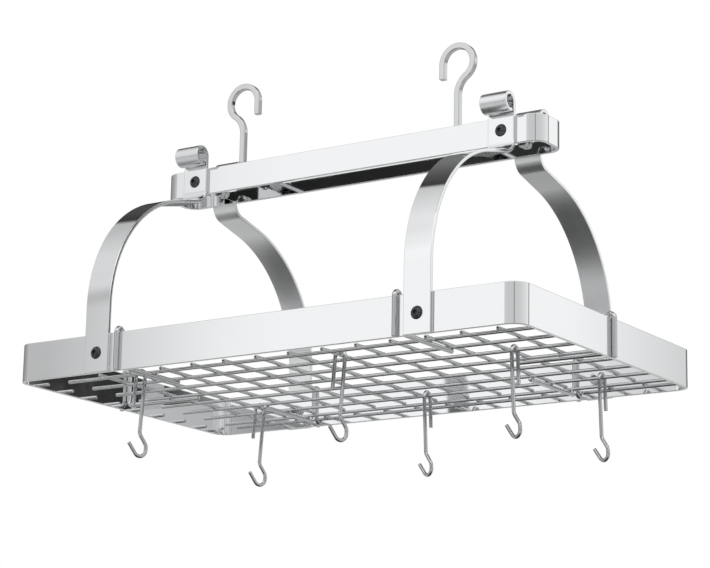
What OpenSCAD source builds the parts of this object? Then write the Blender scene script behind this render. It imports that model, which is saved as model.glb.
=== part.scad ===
// Hanging pot rack: a flat-bar band with a lift-out wire grid, hung by four bent arms from a
// narrow top bar with two ceiling hooks, and six wire pot hooks on the grid.
// Millimetres, +Z up, +X along the long side, the front towards -Y. The origin is the middle
// of the rack on the line on which the two ceiling hooks bear, so the rack hangs below it.

/* [Band] */
// Length of the band, outside
band_l = 762; // [680:1:1100]
// Width of the band, front to back
band_w = 457.2; // [440:1:620]
// Height of the band
band_h = 50.8; // [44:0.1:70]
// Thickness of the band's flat bar
band_t = 4.8; // [3:0.1:6.5]
// Outside radius of the band's bent corners
band_corner_r = 21.4; // [12:0.1:40]

/* [Top bar] */
// Length of the top bar, outside
bar_l = 598; // [540:1:680]
// Width of the top bar, front to back
bar_w = 63.5; // [58:0.5:90]
// Height of the top bar
bar_h = 36.7; // [30:0.1:50]
// Thickness of the top bar's flat bar
bar_t = 4.8; // [3:0.1:6]
// Outside radius of the top bar's bent corners
bar_corner_r = 21; // [12:0.1:28]
// Height of the top bar's lower edge above the band's lower edge
bar_lift = 284.8; // [254:0.1:420]

/* [Arms] */
// Width of an arm's flat bar
arm_w = 38.1; // [25:0.1:50]
// Thickness of an arm's flat bar
arm_t = 4.8; // [3:0.1:6.5]
// Distance of each arm's middle from the middle of the rack
arm_x = 243; // [210:0.5:265]
// Radius of the arm's big arc, at mid thickness
arm_arc_r = 178; // [160:1:190]
// Angle through which the big arc turns in, and the neck back
arm_arc_turn = 76.4; // [70:0.1:85]
// Radius of the neck that turns the arm up to the top bar, at mid thickness
arm_neck_r = 20; // [15:0.5:35]
// Height of the neck's end above the top bar's lower edge
arm_neck_lift = 4.6; // [0:0.1:6]
// Radius of the scroll at the arm's end, at mid thickness
scroll_r = 11.1; // [8:0.1:18]
// Height of the scroll's middle above the top bar's upper edge
scroll_rise = 15.7; // [14:0.1:30]
// Angle through which the scroll is rolled
scroll_turn = 300; // [200:1:305]

/* [Bolts] */
// Diameter of a bolt's shank
bolt_d = 9.5; // [6:0.1:10]
// Diameter of a bolt's button head
bolt_head_d = 16.7; // [14:0.1:18]
// Height of a bolt's button head
bolt_head_h = 5; // [3:0.1:6]
// Width of the hex socket, across its flats
bolt_socket_w = 5.6; // [3:0.1:6]
// Depth of the hex socket
bolt_socket_h = 2.8; // [1:0.1:2.9]
// Width of a nut across its flats
nut_w = 14.3; // [13:0.1:16]
// Height of a nut
nut_h = 8.3; // [5:0.1:8.5]
// Length of bolt showing past its nut
bolt_past = 1.6; // [0.5:0.1:3]
// Clearance round a bolt in its holes
bolt_gap = 0.2; // [0.1:0.05:0.5]

/* [Grid] */
// Distance between neighbouring wires
grid_pitch = 50.8; // [42:0.1:62]
// Diameter of the wires
grid_wire_d = 4.8; // [3:0.1:6]
// Distance of the long wires' ends from the band
grid_end_gap = 17.4; // [8:0.1:30]
// Least length of the long wires past the last wire across
grid_end = 30; // [20:0.5:50]
// Distance by which the grid lies behind the middle of the band
grid_back = 31; // [0:0.5:31]
// Least distance of the wires' ends from the back of the band
grid_back_gap = 8; // [5:0.5:12]
// Depth by which crossing wires are welded into each other
grid_weld = 0.4; // [0.2:0.05:0.8]

/* [Grid clips] */
// Diameter of the clips' rod
clip_d = 6.35; // [5:0.05:7]
// Distance of the front and back clips from the middle
clip_x = 211; // [190:1:215]
// Length of a clip's leg from the band's inner face
clip_reach = 125; // [60:1:140]
// Height of a clip's leg above the band's lower edge, at its middle
clip_leg_z = 6.7; // [4:0.1:12]
// Clearance between a clip's prongs and the band
clip_gap = 0.3; // [0.1:0.05:0.6]
// Clearance between the clips' legs and the grid that lies on them
seat_gap = 0.25; // [0.1:0.05:0.5]

/* [Ceiling hooks] */
// Side of the ceiling hooks' square bar
ceiling_bar = 8; // [6:0.1:10]
// Half the distance between the two ceiling hooks' stems
ceiling_x = 173; // [120:0.5:200]
// Distance by which both ceiling hooks stand left of the middle
ceiling_shift = 15.7; // [0:0.1:16]
// Radius of a ceiling hook's loop, at mid bar
loop_r = 23.2; // [18:0.1:40]
// Height of the loop's middle above the top bar's upper edge
loop_rise = 97.1; // [85:0.1:200]
// Radius of the bend from the stem into the loop, at mid bar
swan_r = 30; // [15:0.5:40]
// Length of the straight tip that ends the loop
loop_tip = 20; // [5:0.5:30]
// Width of the bridge plate that holds a ceiling hook
bridge_w = 25.4; // [18:0.1:40]
// Thickness of the bridge plate
bridge_t = 4.8; // [3:0.1:6]
// Diameter of the threaded end of a ceiling hook
stud_d = 7.6; // [5:0.1:7.8]
// Width of a ceiling hook's nut across its flats
stud_nut_w = 12.7; // [12:0.1:16]
// Height of a ceiling hook's nut
stud_nut_h = 6.8; // [4:0.1:9]

/* [Pot hooks] */
// Diameter of the pot hooks' wire
hook_d = 5; // [3:0.1:5.5]
// Inside width of the bend that sits on the grid
hook_throat = 10; // [9:0.1:16]
// Height of a pot hook from top to bottom
hook_h = 119; // [95:0.5:180]
// Length of the short leg from the hook's top to its free end
hook_short = 50; // [25:0.5:60]
// Radius of the two bends that set the bowl aside, at mid wire
hook_set_r = 10; // [6:0.5:12]
// Angle of those two bends
hook_set_turn = 38; // [30:1:45]
// Distance by which the bowl's back is set aside
hook_set = 11.5; // [9:0.1:14]
// Straight length of the bowl's back
hook_back = 3; // [1:0.1:15]
// Radius of the bowl, at mid wire
hook_bowl_r = 8.7; // [6:0.1:12]
// Angle through which the bowl is bent
hook_bowl_turn = 140; // [120:1:180]
// Straight length of the tip
hook_tip = 16.5; // [4:0.1:20]
// Angle between the plane of the top bend and the plane of the bowl
hook_twist = 68; // [0:1:180]
// Distance by which a hook's own weight leans its foot aside
hook_lean = 8.9; // [0:0.1:16]
// Clearance between a hook's top bend and its wire
hook_gap = 0.3; // [0.1:0.05:0.4]

/* [Hidden] */
$fn = 48;

// Overrun of cutters past the faces they cut
over = 1;
// Width of the chamfer on a cut rod or wire
rod_chamfer = 0.6;
// Depth of that chamfer
rod_chamfer_h = 0.6;
// Margin of the joints between bent lengths of a bar over the bar's own sides
joint_margin = 0.01;
// Length of such a joint in flat or square bar
joint_l = 0.2;

// Heights, from the band's lower edge
bar_top = bar_lift + bar_h;
bar_middle = bar_lift + bar_h / 2;
loop_middle = bar_top + loop_rise;
bearing = loop_middle + loop_r - ceiling_bar / 2;

// The arm's path, at mid thickness
arm_foot_y = band_w / 2 + arm_t / 2;
arm_tab_y = bar_w / 2 + arm_t / 2;
arm_bends_r = arm_arc_r + arm_neck_r;
arm_slope = (arm_foot_y - arm_tab_y - arm_bends_r * (1 - cos(arm_arc_turn))) / sin(arm_arc_turn);
arm_bends_z = arm_bends_r * sin(arm_arc_turn) + arm_slope * cos(arm_arc_turn);
arm_leg = bar_lift + arm_neck_lift - arm_bends_z;
arm_tab = bar_h - arm_neck_lift + scroll_rise;

// The grid, whose long wires lie on the clips' legs and carry the wires across. It has as many
// wires as fit between the band's walls: an even number along, and an odd number across.
grid_columns = 1 + 2 * floor((band_l / 2 - band_t - grid_end_gap - grid_end) / grid_pitch);
grid_half_w = band_w / 2 - band_t - grid_back_gap - grid_back - grid_wire_d / 2;
grid_rows = 2 * floor(grid_half_w / grid_pitch + 0.5);
row_z = clip_leg_z + clip_d / 2 + seat_gap + grid_wire_d / 2;
column_z = row_z + grid_wire_d - grid_weld;
row_length = band_l - 2 * (band_t + grid_end_gap);
column_length = (grid_rows - 1) * grid_pitch + grid_wire_d;

// The clips' path, at mid rod
clip_top_r = (band_t + clip_d) / 2 + clip_gap;
clip_heel_r = clip_d;
clip_top_z = band_h - band_t / 5;

// The ceiling hooks' places along the rack, and their path at mid bar
stem_x = [-ceiling_x - ceiling_shift, ceiling_x - ceiling_shift];
swan_height = sqrt(pow(swan_r + loop_r, 2) - pow(swan_r, 2));
swan_turn = acos(swan_r / (swan_r + loop_r));
nut_clearance = 0.1;
stem_foot = bar_top + stud_nut_h + nut_clearance;
stem = loop_middle - swan_height - stem_foot;
stud_past = 2;
stud_foot = bar_top - bridge_t - stud_nut_h - stud_past;

// The pot hooks' path, at mid wire
hook_top_r = (hook_throat + hook_d) / 2;
hook_top_z = grid_wire_d / 2 + hook_gap - hook_throat / 2;
hook_short_leg = hook_short - hook_top_r - hook_d / 2;
hook_set_run = (hook_set - 2 * hook_set_r * (1 - cos(hook_set_turn))) / sin(hook_set_turn);
hook_set_drop = 2 * hook_set_r * sin(hook_set_turn) + hook_set_run * cos(hook_set_turn);
hook_long_leg = hook_h - hook_top_r - hook_set_drop - hook_back - hook_bowl_r - hook_d;
hook_lean_turn = asin(hook_lean / hook_h);
// Each pot hook's crossing of wires, as shares of the way from the grid's middle to its outermost
// wires, and its way past that crossing, as a share of a pitch. The first three hang on wires
// across and the others on long wires.
hook_share = [
    [-0.91, -1, 0.43], [-0.91, 0.43, 0.8], [0.17, -1, 0.8],
    [0, 0.71, 0.35], [0.91, -0.43, 0.3], [0.91, 0.71, 0.6]
];
hooks_across = 3;

// The place of the wire across, and of the long wire, that lies nearest a share
function column_at(share) = round(share * (grid_columns - 1) / 2) * grid_pitch;
function row_at(share) = (round(share * (grid_rows - 1) / 2 - 0.5) + 0.5) * grid_pitch;

// Moves what is modelled from the band's lower edge to the frame of the whole rack
module hung() {
    translate([0, 0, -bearing]) children();
}

// A section of round rod, or of flat or square bar, across its path
module section(size) {
    if (len(size) == 1) circle(d = size[0]);
    else square(size, center = true);
}

// A straight length of bar along +Z, with what follows at its end
module run(size, length) {
    linear_extrude(length) section(size);
    translate([0, 0, length]) children();
}

// A bend towards +X, or towards -X where the turn is negative, with what follows at its end
module bend(size, radius, turn) {
    side = sign(turn);
    centre = side * radius;
    translate([centre, 0, 0])
        mirror([side < 0 ? 1 : 0, 0, 0])
            rotate([90, 0, 180])
                rotate_extrude(angle = abs(turn))
                    translate([radius, 0])
                        section(size);
    translate([centre, 0, 0]) rotate([0, turn, 0]) translate([-centre, 0, 0]) children();
}

// A joint between two lengths of a bar, a hair wider than the bar
module joint(size) {
    if (len(size) == 1) sphere(d = size[0] + 2 * joint_margin);
    else
        translate([0, 0, -joint_l / 2])
            linear_extrude(joint_l)
                square([size[0] + 2 * joint_margin, size[1] + 2 * joint_margin], center = true);
}

// A bend at any angle, with a joint at each end, so that the lengths it joins are one piece
module joined_bend(size, radius, turn) {
    joint(size);
    bend(size, radius, turn) {
        joint(size);
        children();
    }
}

// The chamfered end of a rod, pointing along +Z
module rod_end(diameter) {
    cylinder(d1 = diameter, d2 = diameter - 2 * rod_chamfer, h = rod_chamfer_h);
}

// The other end of a rod, pointing along -Z
module rod_start(diameter) {
    mirror([0, 0, 1]) rod_end(diameter);
}

// A rectangle with rounded corners, built up from plain shapes
module rounded_rectangle(length, width, radius) {
    square([length, width - 2 * radius], center = true);
    square([length - 2 * radius, width], center = true);
    for (x = [-1, 1], y = [-1, 1])
        translate([x * (length / 2 - radius), y * (width / 2 - radius)])
            circle(r = radius);
}

// A closed ring of flat bar standing on its edge
module flat_bar_ring(length, width, height, thickness, corner_r) {
    linear_extrude(height)
        difference() {
            rounded_rectangle(length, width, corner_r);
            rounded_rectangle(length - 2 * thickness, width - 2 * thickness, corner_r - thickness);
        }
}

// Puts a child, made at the origin with its outside towards -Y, at the four arms' places
module at_arms(y, z) {
    for (turn = [0, 180], x = [-arm_x, arm_x])
        rotate([0, 0, turn]) translate([x, -y, z]) children();
}

// A hole for a bolt through a wall whose outer face is at the origin, seen from -Y
module bolt_hole(depth) {
    translate([0, -over, 0])
        rotate([-90, 0, 0])
            cylinder(d = bolt_d + 2 * bolt_gap, h = depth + 2 * over);
}

// A button-head bolt with a hex socket, its head's seat at the origin and its shank along +Y
module bolt(grip) {
    dome_r = (pow(bolt_head_d / 2, 2) + pow(bolt_head_h, 2)) / (2 * bolt_head_h);
    rotate([-90, 0, 0]) {
        difference() {
            intersection() {
                translate([0, 0, dome_r - bolt_head_h]) sphere(r = dome_r);
                mirror([0, 0, 1]) cylinder(d = bolt_head_d + over, h = bolt_head_h + over);
            }
            translate([0, 0, -bolt_head_h - over])
                cylinder(d = bolt_socket_w / cos(30), h = bolt_socket_h + over, $fn = 6);
        }
        cylinder(d = bolt_d, h = grip + nut_h + bolt_past);
    }
}

// A hex nut that rises from the origin along +Z
module hex_nut(width, height, bore_d) {
    difference() {
        cylinder(d = width / cos(30), h = height, $fn = 6);
        translate([0, 0, -over]) cylinder(d = bore_d, h = height + 2 * over);
    }
}

module basket_band() {
    color([0.86, 0.87, 0.88])
        hung()
            difference() {
                flat_bar_ring(band_l, band_w, band_h, band_t, band_corner_r);
                at_arms(band_w / 2, band_h / 2) bolt_hole(band_t);
            }
}

module top_bar() {
    color([0.86, 0.87, 0.88])
        hung()
            difference() {
                translate([0, 0, bar_lift]) flat_bar_ring(bar_l, bar_w, bar_h, bar_t, bar_corner_r);
                at_arms(bar_w / 2, bar_middle) bolt_hole(bar_t);
            }
}

// One arm of the front side: up the band, in with a big arc, up the top bar and out in a scroll
module arm() {
    strip = [arm_t, arm_w];
    color([0.84, 0.85, 0.86])
        hung()
            difference() {
                translate([0, -arm_foot_y, 0])
                    rotate([0, 0, 90])
                        run(strip, arm_leg)
                        joined_bend(strip, arm_arc_r, arm_arc_turn)
                        run(strip, arm_slope)
                        joined_bend(strip, arm_neck_r, -arm_arc_turn)
                        run(strip, arm_tab)
                        bend(strip, scroll_r, -scroll_turn);
                translate([0, -arm_foot_y - arm_t / 2, band_h / 2]) bolt_hole(arm_t);
                translate([0, -arm_tab_y - arm_t / 2, bar_middle]) bolt_hole(arm_t);
            }
}

module arm_front_left() {
    translate([-arm_x, 0, 0]) arm();
}

module arm_front_right() {
    translate([arm_x, 0, 0]) arm();
}

module arm_back_left() {
    translate([-arm_x, 0, 0]) rotate([0, 0, 180]) arm();
}

module arm_back_right() {
    translate([arm_x, 0, 0]) rotate([0, 0, 180]) arm();
}

module lower_bolts() {
    color([0.16, 0.16, 0.17])
        hung()
            at_arms(band_w / 2 + arm_t, band_h / 2) bolt(arm_t + band_t);
}

module lower_nuts() {
    color([0.7, 0.71, 0.72])
        hung()
            at_arms(band_w / 2 - band_t, band_h / 2)
                rotate([-90, 0, 0])
                    hex_nut(nut_w, nut_h, bolt_d + 2 * nut_clearance);
}

module upper_bolts() {
    color([0.16, 0.16, 0.17])
        hung()
            at_arms(bar_w / 2 + arm_t, bar_middle) bolt(arm_t + bar_t);
}

module upper_nuts() {
    color([0.7, 0.71, 0.72])
        hung()
            at_arms(bar_w / 2 - bar_t, bar_middle)
                rotate([-90, 0, 0])
                    hex_nut(nut_w, nut_h, bolt_d + 2 * nut_clearance);
}

// A straight wire along +Z with both ends chamfered, its middle at the origin
module wire(diameter, length) {
    straight = length - 2 * rod_chamfer_h;
    translate([0, 0, -straight / 2]) {
        rod_start(diameter);
        run([diameter], straight) rod_end(diameter);
    }
}

module grid_panel() {
    color([0.8, 0.81, 0.82])
        hung()
            translate([0, grid_back, 0]) {
                for (row = [0:grid_rows - 1])
                    translate([0, (row - (grid_rows - 1) / 2) * grid_pitch, row_z])
                        rotate([0, 90, 0])
                            wire(grid_wire_d, row_length);
                for (column = [0:grid_columns - 1])
                    translate([(column - (grid_columns - 1) / 2) * grid_pitch, 0, column_z])
                        rotate([90, 0, 0])
                            wire(grid_wire_d, column_length);
            }
}

// One clip, over a band whose outer face is at the origin and whose inside is towards +X
module grid_clip() {
    rod = [clip_d];
    heel_y = band_t + clip_gap + clip_d / 2;
    inner_drop = clip_top_z - clip_leg_z - clip_heel_r;
    leg = band_t + clip_reach - heel_y - clip_heel_r - rod_chamfer_h;
    color([0.82, 0.83, 0.84])
        hung()
            translate([-clip_gap - clip_d / 2, 0, rod_chamfer_h]) {
                rod_start(clip_d);
                run(rod, clip_top_z - rod_chamfer_h)
                bend(rod, clip_top_r, 180)
                run(rod, inner_drop)
                bend(rod, clip_heel_r, -90)
                run(rod, leg)
                rod_end(clip_d);
            }
}

// A clip on the front or the back of the band
module grid_clip_side(x, turn) {
    translate([x, 0, 0]) rotate([0, 0, turn]) translate([-band_w / 2, 0, 0]) grid_clip();
}

// A clip on an end of the band
module grid_clip_end(turn) {
    rotate([0, 0, turn]) translate([-band_l / 2, 0, 0]) grid_clip();
}

module grid_clip_front_left() {
    grid_clip_side(-clip_x, 90);
}

module grid_clip_front_right() {
    grid_clip_side(clip_x, 90);
}

module grid_clip_back_left() {
    grid_clip_side(-clip_x, -90);
}

module grid_clip_back_right() {
    grid_clip_side(clip_x, -90);
}

module grid_clip_left() {
    grid_clip_end(0);
}

module grid_clip_right() {
    grid_clip_end(180);
}

// A plate between the top bar's two walls, level with its upper edge
module hanger_bridge(x) {
    length = bar_w - 2 * bar_t;
    color([0.7, 0.71, 0.72])
        hung()
            translate([x, 0, bar_top - bridge_t])
                difference() {
                    translate([-bridge_w / 2, -length / 2, 0]) cube([bridge_w, length, bridge_t]);
                    translate([0, 0, -over])
                        cylinder(d = stud_d + 2 * bolt_gap, h = bridge_t + 2 * over);
                }
}

module hanger_bridge_left() {
    hanger_bridge(stem_x[0]);
}

module hanger_bridge_right() {
    hanger_bridge(stem_x[1]);
}

// A ceiling hook whose loop starts out towards +X: a threaded stud, a square stem and the loop
module ceiling_hook() {
    square_bar = [ceiling_bar, ceiling_bar];
    color([0.8, 0.81, 0.82])
        hung() {
            translate([0, 0, stud_foot]) {
                rod_start(stud_d);
                cylinder(d = stud_d, h = stem_foot - stud_foot);
            }
            translate([0, 0, stem_foot])
                run(square_bar, stem)
                joined_bend(square_bar, swan_r, swan_turn)
                bend(square_bar, loop_r, -(swan_turn + 180)) {
                    joint(square_bar);
                    run(square_bar, loop_tip);
                }
        }
}

module ceiling_hook_left() {
    translate([stem_x[0], 0, 0]) mirror([1, 0, 0]) ceiling_hook();
}

module ceiling_hook_right() {
    translate([stem_x[1], 0, 0]) ceiling_hook();
}

module ceiling_hook_nuts() {
    color([0.2, 0.2, 0.21])
        hung()
            for (x = stem_x, z = [bar_top, bar_top - bridge_t - stud_nut_h])
                translate([x, 0, z]) hex_nut(stud_nut_w, stud_nut_h, stud_d + 2 * nut_clearance);
}

// A pot hook over a wire along Y at the origin, its short leg towards -X
module pot_hook_shape() {
    wire = [hook_d];
    rotate([0, hook_lean_turn, 0])
        translate([-hook_top_r, 0, hook_top_z - hook_short_leg]) {
            rod_start(hook_d);
            run(wire, hook_short_leg)
            bend(wire, hook_top_r, 180)
            run(wire, hook_long_leg)
            rotate([0, 0, -hook_twist])
            joined_bend(wire, hook_set_r, -hook_set_turn)
            run(wire, hook_set_run)
            joined_bend(wire, hook_set_r, hook_set_turn)
            run(wire, hook_back)
            joined_bend(wire, hook_bowl_r, hook_bowl_turn)
            run(wire, hook_tip)
            rod_end(hook_d);
        }
}

// The pot hook with the given number, counted from 1
module pot_hook(number) {
    share = hook_share[number - 1];
    across = number <= hooks_across;
    past = share[2] * grid_pitch;
    color([0.82, 0.83, 0.84])
        hung()
            translate([column_at(share[0]), grid_back + row_at(share[1]), across ? column_z : row_z])
                rotate([0, 0, across ? 0 : -90])
                    translate([0, past, 0])
                        pot_hook_shape();
}

module pot_hook_1() {
    pot_hook(1);
}

module pot_hook_2() {
    pot_hook(2);
}

module pot_hook_3() {
    pot_hook(3);
}

module pot_hook_4() {
    pot_hook(4);
}

module pot_hook_5() {
    pot_hook(5);
}

module pot_hook_6() {
    pot_hook(6);
}

basket_band();
top_bar();
arm_front_left();
arm_front_right();
arm_back_left();
arm_back_right();
lower_bolts();
lower_nuts();
upper_bolts();
upper_nuts();
grid_panel();
grid_clip_front_left();
grid_clip_front_right();
grid_clip_back_left();
grid_clip_back_right();
grid_clip_left();
grid_clip_right();
hanger_bridge_left();
hanger_bridge_right();
ceiling_hook_left();
ceiling_hook_right();
ceiling_hook_nuts();
pot_hook_1();
pot_hook_2();
pot_hook_3();
pot_hook_4();
pot_hook_5();
pot_hook_6();
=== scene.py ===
"""Hanging pot rack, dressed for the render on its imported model.

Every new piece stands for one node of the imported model, lies in the same place and rides on the
same body. Sizes are in millimetres, with heights from the band's lower edge, and become metres
in the rack's own frame when a piece is finished.
"""

import logging
import math
from collections.abc import Sequence
from dataclasses import dataclass, field
from enum import Enum

import bmesh
import bpy
from mathutils import Matrix, Vector


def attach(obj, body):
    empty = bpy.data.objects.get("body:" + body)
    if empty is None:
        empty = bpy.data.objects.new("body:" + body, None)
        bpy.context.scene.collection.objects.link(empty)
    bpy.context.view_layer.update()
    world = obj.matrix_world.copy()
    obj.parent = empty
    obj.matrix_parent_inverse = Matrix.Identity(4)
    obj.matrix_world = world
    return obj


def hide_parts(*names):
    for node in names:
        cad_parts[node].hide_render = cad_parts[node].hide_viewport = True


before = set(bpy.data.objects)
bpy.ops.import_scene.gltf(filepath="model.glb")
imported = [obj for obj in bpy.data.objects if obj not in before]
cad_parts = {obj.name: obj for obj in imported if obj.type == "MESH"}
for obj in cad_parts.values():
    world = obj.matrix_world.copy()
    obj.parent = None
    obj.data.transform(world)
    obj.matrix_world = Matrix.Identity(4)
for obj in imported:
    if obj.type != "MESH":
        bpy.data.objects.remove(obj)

LOG = logging.getLogger("pot_rack")
METRES_PER_MM = 0.001
# Corners of a shape that lie closer than this are one corner
SAME_PLACE = 0.002
# The attribute that says where a bar's face isn't buffed
SATIN = "satin"
# Length of the short facets that keep a bend's shading off the straight run beside it
RUN_MARGIN = 0.4


class Slot(Enum):
    """The record's material slots."""

    POLISHED_BAR = "polished_bar"
    POLISHED_WIRE = "polished_wire"
    DARK_FASTENERS = "dark_fasteners"


class Corner(Enum):
    """How far two faces may turn, in degrees, before the edge between them stays crisp."""

    FLAT_BAR = 14.0
    ROD = 40.0
    CAST = 31.0


class Side(Enum):
    """The two long sides of the rack, as a turn in degrees about its upright axis."""

    FRONT = 0.0
    BACK = 180.0


@dataclass(frozen=True)
class RackSizes:
    """The driving sizes that several pieces share.

    The band is the basket's rim, and the bar is the narrow ring above it. An ending says what a
    size is: _l length, _w width, _h height, _t thickness, _d diameter and _r radius.
    """

    flat_bar_t: float = 4.8
    band_l: float = 762.0
    band_w: float = 457.2
    band_h: float = 50.8
    bar_l: float = 598.0
    bar_w: float = 63.5
    bar_h: float = 36.7
    bar_lift: float = 284.8
    arm_x: float = 243.0
    clip_d: float = 6.35
    clip_leg_z: float = 6.7
    square_bar: float = 8.0
    loop_r: float = 23.2
    loop_rise: float = 97.1

    @property
    def bar_top(self) -> float:
        """Height of the top bar's upper edge."""
        return self.bar_lift + self.bar_h

    @property
    def loop_middle(self) -> float:
        """Height of the middle of a ceiling hook's loop."""
        return self.bar_top + self.loop_rise

    @property
    def bearing(self) -> float:
        """Height of the line on which the ceiling hooks bear, where the frame's origin is."""
        return self.loop_middle + self.loop_r - self.square_bar / 2


RACK = RackSizes()


def linear(code: str) -> tuple[float, float, float, float]:
    """Turn an sRGB hex colour into linear light.

    Args:
        code: The colour as six hex digits after a hash sign.

    Returns:
        The red, green and blue in linear light, and an alpha of one.
    """
    parts = [int(code[start:start + 2], 16) / 255 for start in (1, 3, 5)]
    light = [part / 12.92 if part <= 0.04045 else ((part + 0.055) / 1.055) ** 2.4 for part in parts]
    return (light[0], light[1], light[2], 1.0)


def add_node(
    tree: bpy.types.NodeTree,
    kind: str,
    links: dict[str | int, bpy.types.NodeSocket] | None = None,
    values: dict[str | int, object] | None = None,
    **settings: object,
) -> bpy.types.Node:
    """Add one node with its settings, its sockets' values and its links.

    Args:
        tree: The node tree that the node goes into.
        kind: The node's type name.
        links: For each input by name or number, the socket that feeds it.
        values: For each input by name or number, the value that it keeps.
        **settings: The node's own settings.

    Returns:
        The new node.
    """
    node = tree.nodes.new(kind)
    for name, value in settings.items():
        setattr(node, name, value)
    for name, value in (values or {}).items():
        node.inputs[name].default_value = value
    for name, socket in (links or {}).items():
        tree.links.new(socket, node.inputs[name])
    return node


@dataclass(frozen=True)
class PlatedSteel:
    """Chrome-plated steel, buffed to a mirror.

    The plating gives the eye a near-white mirror. Buffing leaves it a little hazier in soft
    patches, and the bar under it is not quite flat, so that reflections bow slightly. Where the
    buffing wheel doesn't reach, inside a bend, it is satin.
    """

    name: str
    colour: str
    roughness: float
    haze: float
    patch_mm: float
    wave_mm: float
    wave_height_mm: float
    satin: float = 0.0

    def material(self) -> bpy.types.Material:
        """Make the material.

        Returns:
            A metal whose roughness and surface vary at real sizes.
        """
        made = bpy.data.materials.new(self.name)
        made.use_nodes = True
        tree = made.node_tree
        shader = tree.nodes["Principled BSDF"]
        shader.inputs["Base Color"].default_value = linear(self.colour)
        shader.inputs["Metallic"].default_value = 1.0
        place = add_node(tree, "ShaderNodeTexCoord")
        patches = add_node(
            tree, "ShaderNodeTexNoise",
            links={"Vector": place.outputs["Object"]},
            values={"Scale": 1 / (self.patch_mm * METRES_PER_MM), "Detail": 3.0, "Roughness": 0.55},
        )
        haze = add_node(
            tree, "ShaderNodeMapRange",
            links={"Value": patches.outputs["Fac"]},
            values={
                "From Min": 0.35, "From Max": 0.7,
                "To Min": self.roughness, "To Max": self.roughness + self.haze,
            },
        )
        waves = add_node(
            tree, "ShaderNodeTexNoise",
            links={"Vector": place.outputs["Object"]},
            values={"Scale": 1 / (self.wave_mm * METRES_PER_MM), "Detail": 1.0, "Roughness": 0.4},
        )
        bump = add_node(
            tree, "ShaderNodeBump",
            links={"Height": waves.outputs["Fac"]},
            values={"Strength": 1.0, "Distance": self.wave_height_mm * METRES_PER_MM},
        )
        unbuffed = add_node(tree, "ShaderNodeAttribute", attribute_name=SATIN)
        roughness = add_node(
            tree, "ShaderNodeMath", operation="MULTIPLY_ADD",
            links={0: unbuffed.outputs["Fac"], 2: haze.outputs["Result"]},
            values={1: self.satin},
        )
        tree.links.new(roughness.outputs["Value"], shader.inputs["Roughness"])
        tree.links.new(bump.outputs["Normal"], shader.inputs["Normal"])
        return made


@dataclass(frozen=True)
class BlackOxide:
    """Black-oxide steel, as fasteners have it.

    The oxide gives the eye a charcoal satin that is worn slightly brighter in small spots,
    with the fine grain of the forged blank under it.
    """

    name: str
    colour: str
    worn_colour: str
    roughness: float
    grain_mm: float
    grain_height_mm: float = 0.05
    spot_mm: float = 2.0
    spot_edges: tuple[float, float] = (0.45, 0.75)
    spot_gloss: float = 0.1
    metallic: float = 0.35

    def material(self) -> bpy.types.Material:
        """Make the material.

        Returns:
            A dark satin metal with worn spots and a fine grain.
        """
        made = bpy.data.materials.new(self.name)
        made.use_nodes = True
        tree = made.node_tree
        shader = tree.nodes["Principled BSDF"]
        shader.inputs["Metallic"].default_value = self.metallic
        place = add_node(tree, "ShaderNodeTexCoord")
        spots = add_node(
            tree, "ShaderNodeTexNoise",
            links={"Vector": place.outputs["Object"]},
            values={"Scale": 1 / (self.spot_mm * METRES_PER_MM), "Detail": 4.0},
        )
        tone = add_node(tree, "ShaderNodeValToRGB", links={"Fac": spots.outputs["Fac"]})
        colours = (self.colour, self.worn_colour)
        for element, edge, colour in zip(tone.color_ramp.elements, self.spot_edges, colours):
            element.position = edge
            element.color = linear(colour)
        gloss = add_node(
            tree, "ShaderNodeMapRange",
            links={"Value": spots.outputs["Fac"]},
            values={
                "To Min": self.roughness + self.spot_gloss,
                "To Max": self.roughness - self.spot_gloss,
            },
        )
        grain = add_node(
            tree, "ShaderNodeTexNoise",
            links={"Vector": place.outputs["Object"]},
            values={"Scale": 1 / (self.grain_mm * METRES_PER_MM), "Detail": 2.0},
        )
        bump = add_node(
            tree, "ShaderNodeBump",
            links={"Height": grain.outputs["Fac"]},
            values={"Strength": 0.6, "Distance": self.grain_height_mm * METRES_PER_MM},
        )
        tree.links.new(tone.outputs["Color"], shader.inputs["Base Color"])
        tree.links.new(gloss.outputs["Result"], shader.inputs["Roughness"])
        tree.links.new(bump.outputs["Normal"], shader.inputs["Normal"])
        return made


@dataclass
class Finishes:
    """The rack's finishes, made once and shared by its pieces."""

    bar: PlatedSteel = PlatedSteel(
        "mirror_chrome_bar", "#f0f1f2", roughness=0.03, haze=0.04, patch_mm=45.0,
        wave_mm=160.0, wave_height_mm=0.04, satin=0.2,
    )
    # Drawn wire isn't buffed before it is plated, so it is a little duller than the bars
    wire: PlatedSteel = PlatedSteel(
        "bright_chrome_wire", "#d2d3d4", roughness=0.05, haze=0.06, patch_mm=14.0,
        wave_mm=40.0, wave_height_mm=0.003,
    )
    fasteners: BlackOxide = BlackOxide(
        "black_oxide_steel", "#3c3d40", "#6c6e72", roughness=0.42, grain_mm=0.5,
    )
    made: dict[Slot, bpy.types.Material] = field(default_factory=dict)

    def build(self) -> None:
        """Make the three materials."""
        self.made[Slot.POLISHED_BAR] = self.bar.material()
        self.made[Slot.POLISHED_WIRE] = self.wire.material()
        self.made[Slot.DARK_FASTENERS] = self.fasteners.material()

    def of(self, slot: Slot) -> bpy.types.Material:
        """Return the material of a slot."""
        return self.made[slot]


def turned(degrees: float, axis: str) -> Matrix:
    """Return a turn about one of the three axes, as a 4 by 4 matrix."""
    return Matrix.Rotation(math.radians(degrees), 4, axis)


def moved(x: float, y: float, z: float) -> Matrix:
    """Return a move, as a 4 by 4 matrix."""
    return Matrix.Translation((x, y, z))


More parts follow.
